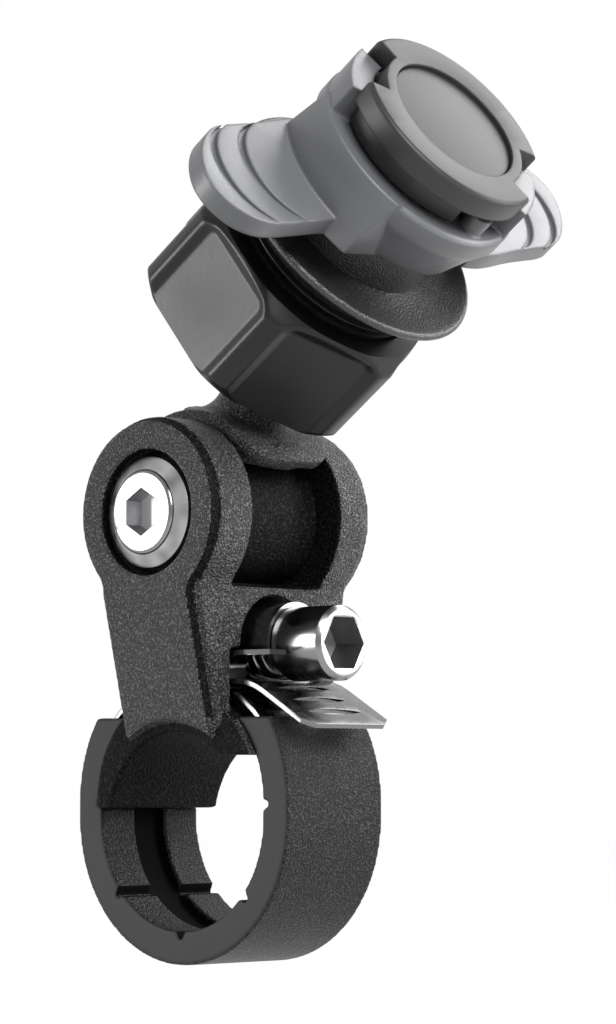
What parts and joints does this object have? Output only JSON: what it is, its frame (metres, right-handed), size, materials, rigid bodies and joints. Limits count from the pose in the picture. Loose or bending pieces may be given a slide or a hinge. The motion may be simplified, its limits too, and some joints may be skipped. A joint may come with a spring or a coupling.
{
  "type": "bicycle phone mount",
  "caption": "Bar-clamp phone mount: rubber-lined worm band clamp, bolted tilt arm, ball joint with clamp nut and bayonet disc with winged release collar.",
  "frame": {"origin": "on the bar's axis, halfway along the clamp saddle", "axes": "+Y along the bar's axis, +Z from the bar towards the tilt hinge, +X towards the side that the phone disc faces"},
  "size_m": [0.0606, 0.0648, 0.1079],
  "materials": {
    "black_nylon": "fine textured black glass-filled nylon",
    "smooth_nylon": "satin black nylon",
    "sleeve_rubber": "matte black rubber",
    "bright_steel": "polished stainless steel",
    "satin_steel": "satin stainless steel",
    "grey_plastic": "satin grey plastic"
  },
  "bodies": {
    "clamp": {"saddle_body": "black_nylon", "rubber_ring": "sleeve_rubber", "clamp_band": "bright_steel", "worm_housing": "bright_steel", "hinge_bolt": "bright_steel", "cup_washer": "bright_steel", "hinge_nut": "satin_steel"},
    "worm": {"worm_screw": "bright_steel"},
    "arm": {"arm": "black_nylon"},
    "ball_seat": {"ball_collet": "smooth_nylon"},
    "head": {"socket_head": "smooth_nylon", "bayonet_disc": "smooth_nylon", "disc_cap": "smooth_nylon", "head_washer": "satin_steel", "head_screw": "satin_steel", "collar_spring": "satin_steel"},
    "nut": {"clamp_nut": "smooth_nylon"},
    "collar": {"release_collar": "grey_plastic"}
  },
  "joints": [
    {"name": "worm_turn", "type": "hinge", "parent": "clamp", "child": "worm", "pos_m": [0, 0, 0.0215], "axis": [1, 0, 0], "continuous": true},
    {"name": "arm_tilt", "type": "hinge", "parent": "clamp", "child": "arm", "pos_m": [0, 0, 0.037], "axis": [0, 1, 0], "range_deg": [-90, 50]},
    {"name": "ball_tilt", "type": "hinge", "parent": "arm", "child": "ball_seat", "pos_m": [0.0078, 0, 0.0616], "axis": [0, 1, 0], "range_deg": [-74, 1]},
    {"name": "head_spin", "type": "hinge", "parent": "ball_seat", "child": "head", "pos_m": [0.0078, 0, 0.0616], "axis": [0.8221, 0, 0.5693], "continuous": true},
    {"name": "nut_turn", "type": "hinge", "parent": "head", "child": "nut", "pos_m": [0.0078, 0, 0.0616], "axis": [0.8221, 0, 0.5693], "continuous": true},
    {"name": "collar_press", "type": "slide", "parent": "head", "child": "collar", "axis": [-0.8221, 0, -0.5693], "range_m": [0, 0.0028], "stiffness_N_per_m": 800, "springref_m": -0.002, "deforming": ["collar_spring"]}
  ]
}
